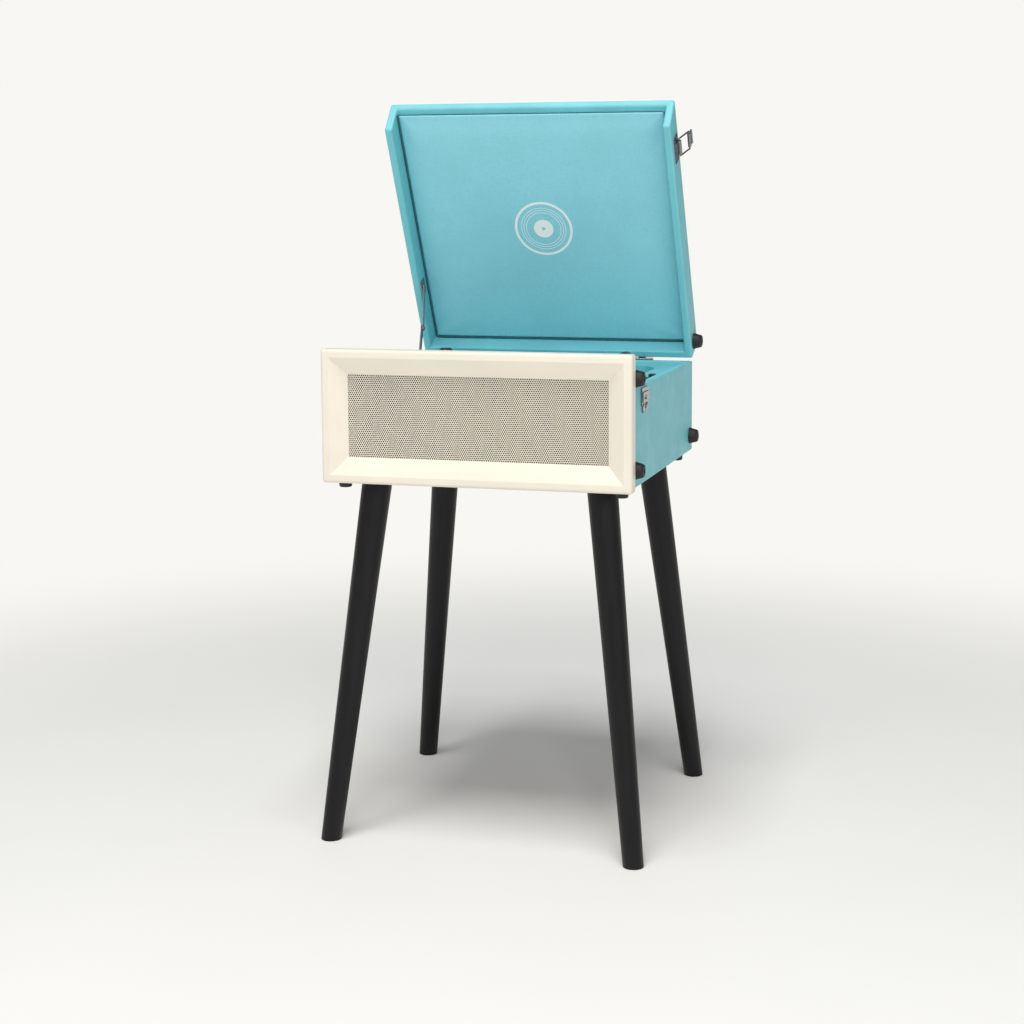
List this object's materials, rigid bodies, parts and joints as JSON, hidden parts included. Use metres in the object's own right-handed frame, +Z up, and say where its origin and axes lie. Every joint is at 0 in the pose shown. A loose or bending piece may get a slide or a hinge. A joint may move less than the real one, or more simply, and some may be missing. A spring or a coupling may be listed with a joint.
{
  "type": "suitcase record player on legs",
  "caption": "Suitcase record player on splayed tapered legs: latched case with a front loudspeaker grille, belt-drive deck and a padded lid propped on a stay.",
  "frame": {"origin": "on the floor, under the middle of the whole object's bounding box with the lid open", "axes": "+X to the right of somebody facing the loudspeaker grille, +Y from the grille to the hinges, +Z up"},
  "size_m": [0.4878, 0.4936, 1.0825],
  "materials": {
    "cream_frame": "satin cream paint on wood",
    "grille": "beige perforated panel",
    "teal": "textured leatherette",
    "teal_liner": "padded vinyl liner",
    "board": "bare fibreboard",
    "deck": "fine textured",
    "dark_steel": "satin black",
    "cone_paper": "pressed paper",
    "circuit": "green board",
    "steel": "zinc plated",
    "nickel": "satin nickel",
    "brass": "turned",
    "rubber": "moulded black rubber",
    "black_wood": "satin black lacquer",
    "black_plastic": "satin black",
    "cream_plastic": "cream moulded",
    "red_plastic": "moulded red",
    "felt": "felt"
  },
  "bodies": {
    "case": {"front_frame": "cream_frame", "speaker_grille": "grille", "front_baffle": "board", "case_sides": "teal", "case_back": "teal", "case_bottom": "board", "deck_plate": "deck", "speaker_chassis": "dark_steel", "speaker_cones": "cone_paper", "amplifier_board": "circuit", "motor": "steel", "drive_belt": "rubber", "platter_bearing": "brass", "tonearm_base": "black_plastic", "arm_rest": "black_plastic", "adapter_post": "black_plastic", "deck_peg": "black_plastic", "connector_panel": "black_plastic", "jack_sockets": "nickel", "latch_keepers": "nickel", "case_bumpers": "rubber", "under_feet": "rubber", "leg_plates": "steel", "legs": "black_wood", "leg_studs": "steel", "hinge_case_leaves": "nickel", "hinge_pins": "steel", "stay_case_bracket": "steel", "handle_brackets": "nickel", "case_screws": "steel"},
    "platter": {"platter": "dark_steel", "slipmat": "felt", "spindle": "nickel"},
    "pulley": {"motor_pulley": "brass"},
    "turret": {"tonearm_turret": "black_plastic"},
    "tonearm": {"arm_tube": "nickel", "headshell": "black_plastic", "cartridge": "red_plastic", "counterweight": "dark_steel"},
    "clip": {"arm_clip": "black_plastic"},
    "speed": {"speed_switch": "black_plastic"},
    "autostop": {"autostop_switch": "black_plastic"},
    "volume": {"volume_knob": "cream_plastic"},
    "tone": {"tone_knob": "cream_plastic"},
    "adapter": {"adapter_45": "black_plastic"},
    "lid": {"lid_top": "teal", "lid_sides": "teal", "lid_back": "teal", "lid_liner": "teal_liner", "lid_bumper": "rubber", "latch_bases": "nickel", "hinge_lid_leaves": "nickel", "stay_lid_bracket": "steel"},
    "stay_upper": {"stay_upper_link": "steel"},
    "stay_lower": {"stay_lower_link": "steel"},
    "link_right": {"latch_link_right": "nickel"},
    "link_left": {"latch_link_left": "nickel"},
    "lever_right": {"latch_lever_right": "nickel"},
    "lever_left": {"latch_lever_left": "nickel"},
    "carry_handle": {"handle": "cream_plastic"}
  },
  "joints": [
    {"name": "lid_hinge", "type": "hinge", "parent": "case", "child": "lid", "pos_m": [0, 0.2054, 0.67915], "axis": [1, 0, 0], "range_deg": [0, 63.5]},
    {"name": "stay_lower_pivot", "type": "hinge", "parent": "case", "child": "stay_lower", "pos_m": [-0.2105, 0.13, 0.662], "axis": [1, 0, 0], "range_deg": [0, 134.09]},
    {"name": "stay_upper_pivot", "type": "hinge", "parent": "lid", "child": "stay_upper", "pos_m": [-0.2105, 0.15737, 0.79532], "axis": [1, 0, 0], "range_deg": [-49.61, 0]},
    {"name": "platter_spin", "type": "hinge", "parent": "case", "child": "platter", "pos_m": [-0.035, -0.027, 0.664], "axis": [0, 0, 1], "continuous": true},
    {"name": "pulley_spin", "type": "hinge", "parent": "case", "child": "pulley", "pos_m": [-0.10005, -0.09205, 0.661], "axis": [0, 0, 1], "continuous": true},
    {"name": "tonearm_swing", "type": "hinge", "parent": "case", "child": "turret", "pos_m": [0.135, 0.083, 0.674], "axis": [0, 0, 1], "range_deg": [-41, 0]},
    {"name": "tonearm_lift", "type": "hinge", "parent": "turret", "child": "tonearm", "pos_m": [0.135, 0.083, 0.688], "axis": [-1, 0, 0], "range_deg": [0, 4]},
    {"name": "clip_hinge", "type": "hinge", "parent": "case", "child": "clip", "pos_m": [0.144, -0.065, 0.693], "axis": [0, 1, 0], "range_deg": [-180, 0]},
    {"name": "speed_slide", "type": "slide", "parent": "case", "child": "speed", "axis": [0, 1, 0], "range_m": [-0.007, 0.007]},
    {"name": "autostop_slide", "type": "slide", "parent": "case", "child": "autostop", "axis": [0, 1, 0], "range_m": [0, 0.006]},
    {"name": "volume_turn", "type": "hinge", "parent": "case", "child": "volume", "pos_m": [0.195, -0.172, 0.679], "axis": [0, 0, -1], "range_deg": [0, 280]},
    {"name": "tone_turn", "type": "hinge", "parent": "case", "child": "tone", "pos_m": [0.195, -0.138, 0.679], "axis": [0, 0, -1], "range_deg": [-140, 140]},
    {"name": "adapter_lift", "type": "slide", "parent": "case", "child": "adapter", "axis": [0, 0, 1], "range_m": [0, 0.01]},
    {"name": "right_link_pivot", "type": "hinge", "parent": "lid", "child": "link_right", "pos_m": [0.229, 0.07264, 1.01232], "axis": [0, 0.4462, -0.8949], "range_deg": [0, 158]},
    {"name": "right_lever_pivot", "type": "hinge", "parent": "link_right", "child": "lever_right", "pos_m": [0.23874, 0.09422, 1.02307], "axis": [0, 0.4462, -0.8949], "range_deg": [-44, 16]},
    {"name": "left_link_pivot", "type": "hinge", "parent": "lid", "child": "link_left", "pos_m": [-0.229, 0.07264, 1.01232], "axis": [0, 0.4462, -0.8949], "range_deg": [-158, 0]},
    {"name": "left_lever_pivot", "type": "hinge", "parent": "link_left", "child": "lever_left", "pos_m": [-0.23874, 0.09422, 1.02307], "axis": [0, 0.4462, -0.8949], "range_deg": [-16, 44]},
    {"name": "handle_pivot", "type": "hinge", "parent": "case", "child": "carry_handle", "pos_m": [-0.2325, -0.01, 0.638], "axis": [0, 1, 0], "range_deg": [0, 110]}
  ],
  "couplings": [
    {"joint": "stay_lower_pivot", "follows": "lid_hinge", "ratio": 2.1115},
    {"joint": "stay_upper_pivot", "follows": "lid_hinge", "ratio": -0.78104},
    {"joint": "pulley_spin", "follows": "platter_spin", "ratio": 11.667}
  ]
}
